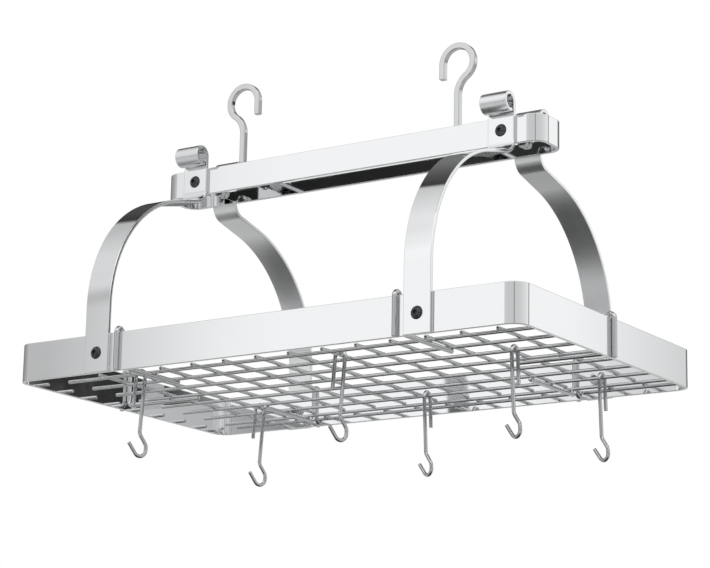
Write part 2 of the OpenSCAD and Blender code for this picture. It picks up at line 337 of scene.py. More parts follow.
def join(whole: bmesh.types.BMesh, part: bmesh.types.BMesh, place: Matrix) -> None:
    """Put a part into a whole at its place.

    Args:
        whole: The shape that the part goes into.
        part: The part, which is used up.
        place: Where its origin goes, and how it is turned.
    """
    mesh = bpy.data.meshes.new("part")
    bmesh.ops.transform(part, matrix=place, verts=part.verts[:])
    part.to_mesh(mesh)
    part.free()
    whole.from_mesh(mesh)
    bpy.data.meshes.remove(mesh)


def finish_piece(
    shape: bmesh.types.BMesh,
    name: str,
    body: str,
    slot: Slot,
    corner: Corner,
    finishes: Finishes,
    nodes: tuple[str, ...],
) -> bpy.types.Object:
    """Turn a shape in millimetres into a piece in the rack's frame.

    Args:
        shape: The shape, which is used up.
        name: The piece's name.
        body: The body that the piece rides on.
        slot: The material slot that it takes its finish from.
        corner: The turn past which its edges stay crisp.
        finishes: The rack's finishes.
        nodes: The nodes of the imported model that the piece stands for.

    Returns:
        The piece's object, at the origin and untransformed.
    """
    bmesh.ops.remove_doubles(shape, verts=shape.verts[:], dist=SAME_PLACE)
    bmesh.ops.recalc_face_normals(shape, faces=shape.faces[:])
    bmesh.ops.transform(
        shape,
        matrix=Matrix.Scale(METRES_PER_MM, 4) @ moved(0, 0, -RACK.bearing),
        verts=shape.verts[:],
    )
    limit = math.radians(corner.value)
    for edge in shape.edges:
        edge.smooth = not edge.is_manifold or edge.calc_face_angle(0.0) < limit
    for face in shape.faces:
        face.smooth = True
    mesh = bpy.data.meshes.new(name)
    shape.to_mesh(mesh)
    shape.free()
    mesh.materials.append(finishes.of(slot))
    piece = bpy.data.objects.new(name, mesh)
    bpy.context.scene.collection.objects.link(piece)
    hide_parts(*nodes)
    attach(piece, body)
    LOG.info("%s: %d faces on %s", name, len(mesh.polygons), body)
    return piece


@dataclass(frozen=True)
class FlatSection:
    """A flat or square bar's section, with edges that rolling and buffing have rounded."""

    thickness: float
    width: float
    edge_r: float = 0.7
    edge_steps: int = 3
    satin_inside: bool = False

    def ring(self, shape: bmesh.types.BMesh, bench: Matrix) -> list[bmesh.types.BMEdge]:
        """Draw the section across the bar's way.

        Args:
            shape: The shape that the section goes into.
            bench: The place and direction of the bar there.

        Returns:
            The edges of the section's outline.
        """
        satin = shape.verts.layers.float.get(SATIN) or shape.verts.layers.float.new(SATIN)
        # The grid is a square of side one, which the scale draws out to the section
        made = bmesh.ops.create_grid(shape, x_segments=1, y_segments=1, size=0.5)
        bmesh.ops.scale(shape, vec=(self.thickness, self.width, 1), verts=made["verts"])
        rounded = bmesh.ops.bevel(
            shape, geom=made["verts"], offset=self.edge_r, segments=self.edge_steps,
            profile=0.5, affect="VERTICES", material=-1, offset_type="OFFSET",
        )
        corners = set(rounded["verts"]) | {vert for vert in made["verts"] if vert.is_valid}
        sheet = {face for vert in corners for face in vert.link_faces}
        outline = list({edge for face in sheet for edge in face.edges})
        points = list({vert for edge in outline for vert in edge.verts})
        for point in points:
            point[satin] = float(self.satin_inside and point.co.x > 0)
        bmesh.ops.transform(shape, matrix=bench, verts=points)
        bmesh.ops.delete(shape, geom=list(sheet), context="FACES_ONLY")
        return outline

    def inset(self, depth: float) -> Vector:
        """Return the scale that draws the section in by a depth on each side."""
        return Vector((1 - 2 * depth / self.thickness, 1 - 2 * depth / self.width, 1))


@dataclass(frozen=True)
class RoundSection:
    """A round rod's or wire's section."""

    diameter: float
    sides: int = 24

    def ring(self, shape: bmesh.types.BMesh, bench: Matrix) -> list[bmesh.types.BMEdge]:
        """Draw the section across the rod's way.

        Args:
            shape: The shape that the section goes into.
            bench: The place and direction of the rod there.

        Returns:
            The edges of the section's outline.
        """
        made = bmesh.ops.create_circle(
            shape, cap_ends=False, segments=self.sides, radius=self.diameter / 2, matrix=bench,
        )
        return list({edge for vert in made["verts"] for edge in vert.link_edges})

    def inset(self, depth: float) -> Vector:
        """Return the scale that draws the section in by a depth on each side."""
        return Vector((1 - 2 * depth / self.diameter, 1 - 2 * depth / self.diameter, 1))


class BentBar:
    """One bar of flat, square or round section, bent along its way as on a bending bench.

    The bar goes on along the bench's own +Z, and a bend turns it towards the bench's +X, or
    towards -X where the turn is negative.
    """

    def __init__(
        self, shape: bmesh.types.BMesh, section: FlatSection | RoundSection, bench: Matrix,
    ) -> None:
        """Start a bar.

        Args:
            shape: The shape that the bar goes into.
            section: The bar's section.
            bench: The place and direction of its start.
        """
        self.shape = shape
        self.section = section
        self.bench = bench.copy()
        self.start = bench.copy()
        self.ring = section.ring(shape, bench)
        self.first = list(self.ring)

    def _follow(self, made: list[bmesh.types.BMVert]) -> None:
        """Take the outline through some new corners as the bar's end.

        Args:
            made: The corners that the last step made.
        """
        corners = set(made)
        self.ring = [
            edge for edge in {edge for vert in corners for edge in vert.link_edges}
            if edge.verts[0] in corners and edge.verts[1] in corners
        ]

    def _step(self, length: float) -> None:
        """Draw the bar's end straight out.

        Args:
            length: How far it goes.
        """
        made = bmesh.ops.extrude_edge_only(self.shape, edges=self.ring)["geom"]
        corners = [part for part in made if isinstance(part, bmesh.types.BMVert)]
        along = self.bench.to_3x3() @ Vector((0, 0, length))
        bmesh.ops.translate(self.shape, vec=along, verts=corners)
        self.bench = self.bench @ moved(0, 0, length)
        self._follow(corners)

    def run(self, length: float) -> "BentBar":
        """Draw the bar straight out, with a short facet at each end of the run.

        Args:
            length: The run's length.

        Returns:
            The bar itself.
        """
        margin = min(RUN_MARGIN, length / 4)
        for part in (margin, length - 2 * margin, margin):
            self._step(part)
        return self

    def bend(self, radius: float, turn: float, steps: int) -> "BentBar":
        """Bend the bar.

        Args:
            radius: The bend's radius at mid thickness.
            turn: The angle in degrees, negative towards the bench's -X.
            steps: The number of facets in the bend.

        Returns:
            The bar itself.
        """
        side = math.copysign(radius, turn)
        corners = list({vert for edge in self.ring for vert in edge.verts})
        made = bmesh.ops.spin(
            self.shape, geom=[*corners, *self.ring],
            cent=self.bench @ Vector((side, 0, 0)),
            axis=self.bench.to_3x3() @ Vector((0, 1, 0)),
            angle=math.radians(turn), steps=steps, use_merge=False,
        )["geom_last"]
        self.bench = self.bench @ moved(side, 0, 0) @ turned(turn, "Y") @ moved(-side, 0, 0)
        self._follow([part for part in made if isinstance(part, bmesh.types.BMVert)])
        return self

    def twist(self, turn: float) -> "BentBar":
        """Turn the bench about the bar, so that the next bend goes another way."""
        self.bench = self.bench @ turned(turn, "Z")
        return self

    def _round_off(self, depth: float, steps: int) -> None:
        """Round the bar's end in and close it.

        Args:
            depth: The rounding's radius, by which the bar also grows longer.
            steps: The number of facets in the rounding.
        """
        origin = self.bench.copy()
        done = 0.0
        before = Vector((1, 1, 1))
        for step in range(1, steps + 1):
            angle = math.radians(90 * step / steps)
            forward = depth * math.sin(angle)
            self._step(forward - done)
            scale = self.section.inset(depth * (1 - math.cos(angle)))
            ratio = Vector((scale.x / before.x, scale.y / before.y, 1))
            bmesh.ops.scale(
                self.shape, vec=ratio, space=origin.inverted(),
                verts=list({vert for edge in self.ring for vert in edge.verts}),
            )
            done = forward
            before = scale
        bmesh.ops.edgeloop_fill(self.shape, edges=self.ring)

    def finish(self, depth: float = 0.6, steps: int = 3) -> None:
        """Round off and close both ends of the bar.

        Args:
            depth: The rounding's radius, by which each end also grows longer.
            steps: The number of facets in the rounding.
        """
        self._round_off(depth, steps)
        self.ring = self.first
        self.bench = self.start @ turned(180, "X")
        self._round_off(depth, steps)


@dataclass
class FlatRing:
    """A closed ring of flat bar that stands on its edge, with bent corners."""

    name: str
    length: float
    width: float
    height: float
    corner_r: float
    lift: float
    thickness: float = RACK.flat_bar_t
    corner_steps: int = 20

    def build(self, finishes: Finishes) -> bpy.types.Object:
        """Bend the ring from the middle of its front side, and close it there.

        Args:
            finishes: The rack's finishes.

        Returns:
            The ring's piece.
        """
        shape = bmesh.new()
        radius = self.corner_r - self.thickness / 2
        across = self.width - 2 * self.corner_r
        along = self.length - 2 * self.corner_r
        front = moved(0, (self.thickness - self.width) / 2, self.lift + self.height / 2)
        bench = front @ turned(90, "Y") @ turned(90, "Z")
        bar = BentBar(shape, FlatSection(self.thickness, self.height), bench)
        bar.run(along / 2)
        for run in (across, along, across):
            bar.bend(radius, 90, self.corner_steps).run(run)
        bar.bend(radius, 90, self.corner_steps).run(along / 2)
        return finish_piece(
            shape, self.name + "_bar", "frame", Slot.POLISHED_BAR, Corner.FLAT_BAR, finishes,
            (self.name,),
        )


@dataclass
class Arms:
    """The four arms of flat bar, each with a big arc, a neck and a rolled scroll.

    An arm stands on the band's outer face, leans in over the basket through the arc, and comes
    upright again through the neck against the top bar. Its straight slope follows from those.
    """

    width: float = 38.1
    thickness: float = RACK.flat_bar_t
    foot_y: float = (RACK.band_w + RACK.flat_bar_t) / 2
    tab_y: float = (RACK.bar_w + RACK.flat_bar_t) / 2
    arc_r: float = 178.0
    arc_turn: float = 76.4
    arc_steps: int = 48
    neck_r: float = 20.0
    neck_lift: float = 4.6
    neck_steps: int = 24
    scroll_r: float = 11.1
    scroll_rise: float = 15.7
    scroll_turn: float = 300.0
    scroll_steps: int = 60
    edge: float = 0.5

    def build(self, finishes: Finishes) -> None:
        """Bend the four arms.

        Args:
            finishes: The rack's finishes.
        """
        for side in Side:
            for hand, x in (("left", -RACK.arm_x), ("right", RACK.arm_x)):
                name = f"arm_{side.name.lower()}_{hand}"
                self._arm(name, x, side, finishes)

    def _arm(self, name: str, x: float, side: Side, finishes: Finishes) -> bpy.types.Object:
        """Bend one arm.

        Args:
            name: The node that the arm stands for.
            x: The arm's place along the rack.
            side: The side of the rack that it is on.
            finishes: The rack's finishes.

        Returns:
            The arm's piece.
        """
        shape = bmesh.new()
        bench = moved(x, 0, 0) @ turned(side.value, "Z") @ moved(0, -self.foot_y, self.edge)
        section = FlatSection(self.thickness, self.width, satin_inside=True)
        bar = BentBar(shape, section, bench @ turned(90, "Z"))
        turn = math.radians(self.arc_turn)
        bends = self.arc_r + self.neck_r
        slope = (self.foot_y - self.tab_y - bends * (1 - math.cos(turn))) / math.sin(turn)
        neck_end = RACK.bar_lift + self.neck_lift
        leg = neck_end - bends * math.sin(turn) - slope * math.cos(turn)
        scroll_turn = self.scroll_turn - math.degrees(self.edge / self.scroll_r)
        bar.run(leg - self.edge)
        bar.bend(self.arc_r, self.arc_turn, self.arc_steps)
        bar.run(slope)
        bar.bend(self.neck_r, -self.arc_turn, self.neck_steps)
        bar.run(RACK.bar_top + self.scroll_rise - neck_end)
        bar.bend(self.scroll_r, -scroll_turn, self.scroll_steps)
        bar.finish(self.edge)
        return finish_piece(
            shape, name + "_bar", "frame", Slot.POLISHED_BAR, Corner.FLAT_BAR, finishes, (name,),
        )


def hexagon_r(across_flats: float) -> float:
    """Return the distance from a hexagon's middle to its corners."""
    return across_flats / math.cos(math.radians(30)) / 2


def add_hex_nut(
    shape: bmesh.types.BMesh, place: Matrix, width: float, height: float, edge: float = 0.6,
) -> None:
    """Make one hex nut with softened edges.

    Args:
        shape: The shape that the nut goes into.
        place: The nut's seat, with the nut along +Z.
        width: The width across its flats.
        height: Its height.
        edge: The width of its softened edges.
    """
    made = bmesh.ops.create_circle(
        shape, cap_ends=True, segments=6, radius=hexagon_r(width), matrix=turned(90, "Z"),
    )["verts"]
    lids = list({face for vert in made for face in vert.link_faces})
    raised = bmesh.ops.extrude_face_region(shape, geom=lids, use_keep_orig=True)["geom"]
    top = [part for part in raised if isinstance(part, bmesh.types.BMVert)]
    bmesh.ops.translate(shape, vec=(0, 0, height), verts=top)
    corners = [*made, *top]
    edges = list({side for vert in corners for side in vert.link_edges})
    bmesh.ops.transform(shape, matrix=place, verts=corners)
    bmesh.ops.bevel(
        shape, geom=edges, offset=edge, segments=2, profile=0.5, affect="EDGES", material=-1,
    )


@dataclass
class Fasteners:
    """The button-head bolts with their hex sockets, and the nuts behind the bars.

    The place of the lower and of the upper ones is the head's seat from the rack's middle, and
    the height of the bolt's axis.
    """

    shank_d: float = 9.5
    head_d: float = 16.7
    head_h: float = 5.0
    dome_steps: int = 10
    socket_w: float = 5.6
    socket_h: float = 2.8
    socket_land: float = 0.5
    grip: float = 2 * RACK.flat_bar_t
    nut_w: float = 14.3
    nut_h: float = 8.3
    past: float = 1.6
    thread_pitch: float = 1.5
    thread_depth: float = 0.75
    lower: tuple[float, float] = (RACK.band_w / 2 + RACK.flat_bar_t, RACK.band_h / 2)
    upper: tuple[float, float] = (
        RACK.bar_w / 2 + RACK.flat_bar_t, RACK.bar_lift + RACK.bar_h / 2,
    )
    sides: int = 48

    def build(self, finishes: Finishes) -> None:
        """Make the bolts and nuts of the band and of the top bar.

        Args:
            finishes: The rack's finishes.
        """
        for level, (y, z) in (("lower", self.lower), ("upper", self.upper)):
            bolts = bmesh.new()
            nuts = bmesh.new()
            for side in Side:
                for x in (-RACK.arm_x, RACK.arm_x):
                    place = turned(side.value, "Z") @ moved(x, -y, z) @ turned(-90, "X")
                    join(bolts, self._bolt(), place)
                    add_hex_nut(nuts, place @ moved(0, 0, self.grip), self.nut_w, self.nut_h)
            finish_piece(
                bolts, level + "_button_bolts", "frame", Slot.DARK_FASTENERS, Corner.CAST,
                finishes, (level + "_bolts",),
            )
            finish_piece(
                nuts, level + "_hex_nuts", "frame", Slot.POLISHED_WIRE, Corner.CAST,
                finishes, (level + "_nuts",),
            )

    def _outline(self) -> list[tuple[float, float]]:
        """Work out a bolt's outline, from its socket's rim to its end.

        Returns:
            The outline's corners, each as a radius and a height.
        """
        head = self.head_d / 2
        dome_r = (head ** 2 + self.head_h ** 2) / (2 * self.head_h)
        rim = hexagon_r(self.socket_w) + self.socket_land
        outline = []
        for step in range(self.dome_steps + 1):
            radius = rim + (head - rim) * step / self.dome_steps
            outline.append((radius, dome_r - self.head_h - math.sqrt(dome_r ** 2 - radius ** 2)))
        shank = self.shank_d / 2
        end = self.grip + self.nut_h + self.past
        outline += [(shank, 0.0), (shank, self.grip)]
        turns = math.floor((end - self.grip) / self.thread_pitch)
        root = shank - self.thread_depth
        for turn in range(turns):
            low = self.grip + turn * self.thread_pitch
            outline += [(root, low + self.thread_pitch / 2), (shank, low + self.thread_pitch)]
        outline += [(root, end), (0.0, end)]
        return outline

    def _bolt(self) -> bmesh.types.BMesh:
        """Turn one bolt and press its hex socket.

        Returns:
            The bolt, with its head's seat at the origin and its shank along +Z.
        """
        shape = bmesh.new()
        outline = self._outline()
        points = [shape.verts.new((radius, 0, height)) for radius, height in outline]
        lines = [shape.edges.new(pair) for pair in zip(points, points[1:])]
        bmesh.ops.spin(
            shape, geom=[*points, *lines], cent=(0, 0, 0), axis=(0, 0, 1),
            angle=math.radians(360), steps=self.sides, use_merge=True,
        )
        bmesh.ops.remove_doubles(shape, verts=shape.verts[:], dist=SAME_PLACE)
        bmesh.ops.create_circle(
            shape, segments=6, radius=hexagon_r(self.socket_w), matrix=moved(0, 0, outline[0][1]),
        )
        sides = [edge for edge in shape.edges if edge.is_wire]
        bmesh.ops.subdivide_edges(shape, edges=sides, cuts=self.sides // 6 - 1)
        rim = [edge for edge in shape.edges if edge.is_boundary]
        sides = [edge for edge in shape.edges if edge.is_wire]
        bmesh.ops.bridge_loops(shape, edges=rim + sides)
        sides = [edge for edge in shape.edges if edge.is_boundary]
        walls = bmesh.ops.extrude_edge_only(shape, edges=sides)["geom"]
        floor = [part for part in walls if isinstance(part, bmesh.types.BMVert)]
        bmesh.ops.translate(shape, vec=(0, 0, self.socket_h), verts=floor)
        bmesh.ops.edgeloop_fill(shape, edges=[edge for edge in shape.edges if edge.is_boundary])
        return shape


@dataclass
class Grid:
    """The welded grid of long wires, with the wires across lying on them."""

    pitch: float = 50.8
    rows: int = 8
    columns: int = 13
    wire_d: float = 4.8
    wire_sides: int = 20
    end_gap: float = 17.4
    back: float = 31.0
    seat_gap: float = 0.25
    weld: float = 0.4
    bead: tuple[float, float, float] = (2.9, 2.9, 0.75)
    end_r: float = 0.9

    @property
    def row_z(self) -> float:
        """Height of the long wires, which lie on the clips' legs."""
        return RACK.clip_leg_z + (RACK.clip_d + self.wire_d) / 2 + self.seat_gap

    @property
    def column_z(self) -> float:
        """Height of the cross wires, which are welded a little way into the long ones."""
        return self.row_z + self.wire_d - self.weld

    def build(self, finishes: Finishes) -> bpy.types.Object:
        """Lay the wires out and weld them.

        Args:
            finishes: The rack's finishes.

        Returns:
            The grid's piece.
        """
        shape = bmesh.new()
        row_length = RACK.band_l - 2 * (RACK.flat_bar_t + self.end_gap)
        column_length = (self.rows - 1) * self.pitch + self.wire_d
        for row in range(self.rows):
            place = moved(0, self._row_y(row), self.row_z) @ turned(90, "Y")
            self._wire(shape, place, row_length)
        for column in range(self.columns):
            place = moved(self._column_x(column), self.back, self.column_z) @ turned(90, "X")
            self._wire(shape, place, column_length)
        for row in range(self.rows):
            for column in range(self.columns):
                self._weld(shape, self._column_x(column), self._row_y(row))
        return finish_piece(
            shape, "welded_wire_grid", "grid", Slot.POLISHED_WIRE, Corner.ROD, finishes,
            ("grid_panel",),
        )

    def _row_y(self, row: int) -> float:
        """Return a long wire's place from front to back."""
        return self.back + (row - (self.rows - 1) / 2) * self.pitch

    def _column_x(self, column: int) -> float:
        """Return a cross wire's place along the rack."""
        return (column - (self.columns - 1) / 2) * self.pitch

    def _wire(self, shape: bmesh.types.BMesh, middle: Matrix, length: float) -> None:
        """Lay one straight wire with rounded ends.

        Args:
            shape: The shape that the wire goes into.
            middle: The wire's middle, with the wire along Z.
            length: The wire's length.
        """
        straight = length - 2 * self.end_r
        section = RoundSection(self.wire_d, self.wire_sides)
        bar = BentBar(shape, section, middle @ moved(0, 0, -straight / 2))
        bar.run(straight)
        bar.finish(self.end_r)

    def _weld(self, shape: bmesh.types.BMesh, x: float, y: float) -> None:
        """Squeeze out the small bead of a resistance weld where two wires cross.

        Args:
            shape: The shape that the bead goes into.
            x: The cross wire's place.
            y: The long wire's place.
        """
        middle = (self.row_z + self.column_z) / 2
        bmesh.ops.create_icosphere(
            shape, subdivisions=2, radius=1.0,
            matrix=moved(x, y, middle) @ Matrix.Diagonal((*self.bead, 1)),
        )


@dataclass
class GridClips:
    """The six bent rods that hang over the band and carry the grid.

    A clip goes up the band's outer face, over its edge and down inside, and its leg then reaches
    in under the grid.
    """

    rod_d: float = RACK.clip_d
    rod_sides: int = 28
    gap: float = 0.3
    reach: float = 125.0
    x: float = 211.0
    top_steps: int = 24
    heel_steps: int = 14
    end_r: float = 0.6

    def build(self, finishes: Finishes) -> None:
        """Bend the six clips.

        Args:
            finishes: The rack's finishes.
        """
        walls = (
            ("front_left", -self.x, 90.0, RACK.band_w),
            ("front_right", self.x, 90.0, RACK.band_w),
            ("back_left", -self.x, -90.0, RACK.band_w),
            ("back_right", self.x, -90.0, RACK.band_w),
            ("left", 0.0, 0.0, RACK.band_l),
            ("right", 0.0, 180.0, RACK.band_l),
        )
        for name, x, turn, span in walls:
            place = moved(x, 0, 0) @ turned(turn, "Z") @ moved(-span / 2, 0, 0)
            self._clip("grid_clip_" + name, place, finishes)

    def _clip(self, name: str, place: Matrix, finishes: Finishes) -> bpy.types.Object:
        """Bend one clip over a wall of the band.

        Args:
            name: The node that the clip stands for.
            place: The wall's outer face, with the inside towards +X.
            finishes: The rack's finishes.

        Returns:
            The clip's piece.
        """
        shape = bmesh.new()
        wall = RACK.flat_bar_t
        top_z = RACK.band_h - wall / 5
        top_r = (wall + self.rod_d) / 2 + self.gap
        heel_r = self.rod_d
        leg = self.reach - self.gap - self.rod_d / 2 - heel_r
        bench = place @ moved(-self.gap - self.rod_d / 2, 0, self.end_r)
        bar = BentBar(shape, RoundSection(self.rod_d, self.rod_sides), bench)
        bar.run(top_z - self.end_r)
        bar.bend(top_r, 180, self.top_steps)
        bar.run(top_z - RACK.clip_leg_z - heel_r)
        bar.bend(heel_r, -90, self.heel_steps)
        bar.run(leg - self.end_r)
        bar.finish(self.end_r)
        return finish_piece(
            shape, name + "_rod", "frame", Slot.POLISHED_WIRE, Corner.ROD, finishes, (name,),
        )


@dataclass
class CeilingHooks:
    """The two question-mark hooks of square bar, their threaded studs and their nuts.

    The stem swings out by the swan bend, so that the loop over it has its middle on the stem's
    own axis.
    """

    x: float = 173.0
    shift: float = -15.7
    loop_r: float = RACK.loop_r
    loop_steps: int = 60
    loop_tip: float = 20.0
    swan_r: float = 30.0
    swan_steps: int = 24
    bridge_t: float = RACK.flat_bar_t
    stud_d: float = 7.6
    stud_sides: int = 28
    stud_past: float = 2.0
    stud_end_r: float = 0.6
    nut_w: float = 12.7
    nut_h: float = 6.8
    nut_gap: float = 0.1
    edge_r: float = 0.9
    end_r: float = 0.5

    def build(self, finishes: Finishes) -> None:
        """Forge both hooks and put their nuts on.

        Args:
            finishes: The rack's finishes.
        """
        nuts = bmesh.new()
        for name, hand in (("left", -1.0), ("right", 1.0)):
            x = self.shift + hand * self.x
            place = moved(x, 0, 0) @ Matrix.Diagonal((hand, 1, 1, 1))
            self._hook("ceiling_hook_" + name, place, finishes)
            for z in (RACK.bar_top, RACK.bar_top - self.bridge_t - self.nut_h):
                add_hex_nut(nuts, moved(x, 0, z), self.nut_w, self.nut_h)
        finish_piece(
            nuts, "ceiling_hook_hex_nuts", "frame", Slot.DARK_FASTENERS, Corner.CAST, finishes,
            ("ceiling_hook_nuts",),
        )

    def _hook(self, name: str, place: Matrix, finishes: Finishes) -> bpy.types.Object:
        """Bend one hook.

        Args:
            name: The node that the hook stands for.
            place: The stem's axis, with the loop starting out towards +X.
            finishes: The rack's finishes.

        Returns:
            The hook's piece.
        """
        shape = bmesh.new()
        swan_height = math.sqrt((self.swan_r + self.loop_r) ** 2 - self.swan_r ** 2)
        swan_turn = math.degrees(math.acos(self.swan_r / (self.swan_r + self.loop_r)))
        foot = RACK.bar_top + self.nut_h + self.nut_gap + self.end_r
        stud_foot = RACK.bar_top - self.bridge_t - self.nut_h - self.stud_past
        square = FlatSection(RACK.square_bar, RACK.square_bar, self.edge_r)
        stem = BentBar(shape, square, moved(0, 0, foot))
        stem.run(RACK.loop_middle - swan_height - foot)
        stem.bend(self.swan_r, swan_turn, self.swan_steps)
        stem.bend(self.loop_r, -(swan_turn + 180), self.loop_steps)
        stem.run(self.loop_tip - self.end_r)
        stem.finish(self.end_r)
        section = RoundSection(self.stud_d, self.stud_sides)
        stud = BentBar(shape, section, moved(0, 0, stud_foot))
        stud.run(foot - stud_foot)
        stud.finish(self.stud_end_r)
        bmesh.ops.transform(shape, matrix=place, verts=shape.verts[:])
        return finish_piece(
            shape, name + "_bar", "frame", Slot.POLISHED_WIRE, Corner.FLAT_BAR, finishes, (name,),
        )


@dataclass
class PotHooks:
    """The six twisted wire hooks that hang on the grid.

    The first of them hang on cross wires, and the rest on long ones. Their places are counted in
    squares of the grid from its middle.
    """

    wire_d: float = 5.0
    wire_sides: int = 24
    throat: float = 10.0
    throat_steps: int = 28
    height: float = 119.0
    short: float = 50.0
    set_r: float = 10.0
    set_turn: float = 38.0
    set_steps: int = 10
    set_aside: float = 11.5
    back: float = 3.0
    bowl_r: float = 8.7
    bowl_turn: float = 140.0
    bowl_steps: int = 24
    tip: float = 16.5
    twist: float = 68.0
    lean: float = 8.9
    gap: float = 0.3
    end_r: float = 0.6
    on_cross_wires: int = 3
    grid: Grid = field(default_factory=Grid)
    squares: tuple[tuple[float, float], ...] = (
        (-5, -3.07), (-5, 2.3), (1, -2.7), (0.35, 2.5), (5.3, -1.5), (5.6, 2.5),
    )

    def build(self, finishes: Finishes) -> None:
        """Bend the six hooks and hang each on its wire.

        Args:
            finishes: The rack's finishes.
        """
        for number, (x, y) in enumerate(self.squares, start=1):
            on_cross = number <= self.on_cross_wires
            z = self.grid.column_z if on_cross else self.grid.row_z
            place = moved(x * self.grid.pitch, self.grid.back + y * self.grid.pitch, z)
            if not on_cross:
                place = place @ turned(-90, "Z")
            self._hook(number, place, finishes)

    def _hook(self, number: int, place: Matrix, finishes: Finishes) -> bpy.types.Object:
        """Bend one hook.

        Args:
            number: The hook's number, which names its node and its body.
            place: The wire that the hook hangs on, along Y, with the short leg towards -X.
            finishes: The rack's finishes.

        Returns:
            The hook's piece.
        """
        shape = bmesh.new()
        top_r = (self.throat + self.wire_d) / 2
        top_z = self.grid.wire_d / 2 + self.gap - self.throat / 2
        short_leg = self.short - top_r - self.wire_d / 2
        turn = math.radians(self.set_turn)
        set_run = (self.set_aside - 2 * self.set_r * (1 - math.cos(turn))) / math.sin(turn)
        set_drop = 2 * self.set_r * math.sin(turn) + set_run * math.cos(turn)
        long_leg = self.height - top_r - set_drop - self.back - self.bowl_r - self.wire_d
        lean_turn = math.degrees(math.asin(self.lean / self.height))
        bench = place @ turned(lean_turn, "Y") @ moved(-top_r, 0, top_z - short_leg)
        bar = BentBar(shape, RoundSection(self.wire_d, self.wire_sides), bench)
        bar.run(short_leg).bend(top_r, 180, self.throat_steps).run(long_leg)
        bar.twist(-self.twist).bend(self.set_r, -self.set_turn, self.set_steps)
        bar.run(set_run).bend(self.set_r, self.set_turn, self.set_steps).run(self.back)
        bar.bend(self.bowl_r, self.bowl_turn, self.bowl_steps).run(self.tip)
        bar.finish(self.end_r)
        return finish_piece(
            shape, f"pot_hook_{number}_wire", f"hook_{number}", Slot.POLISHED_WIRE, Corner.ROD,
            finishes, (f"pot_hook_{number}",),
        )


@dataclass
class BridgePlates:
    """The two plates in the top bar, whose nodes stay and only take the finish."""

    nodes: tuple[str, ...] = ("hanger_bridge_left", "hanger_bridge_right")

    def build(self, finishes: Finishes) -> None:
        """Give the plates their finish.

        Args:
            finishes: The rack's finishes.
        """
        for name in self.nodes:
            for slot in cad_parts[name].material_slots:
                slot.material = finishes.of(Slot.POLISHED_WIRE)
            LOG.info("%s: kept, with a new finish", name)


@dataclass(frozen=True)
class Softbox:
    """One square softbox, with its place, the point that it faces, its side and its watts."""

    name: str
    at: tuple[float, float, float]
    size: float
    power: float
    aim: tuple[float, float, float] = (0.0, 0.0, -0.3)

    def hang(self) -> None:
        """Hang the softbox, which lights the rack but doesn't show in its metal."""
        data = bpy.data.lights.new(self.name, "AREA")
        data.shape = "SQUARE"
        data.size = self.size
        data.energy = self.power
        lamp = bpy.data.objects.new(self.name, data)
        turn = (Vector(self.aim) - Vector(self.at)).to_track_quat("-Z", "Y")
        lamp.matrix_world = Matrix.Translation(self.at) @ turn.to_matrix().to_4x4()
        lamp.visible_glossy = False
        bpy.context.scene.collection.objects.link(lamp)


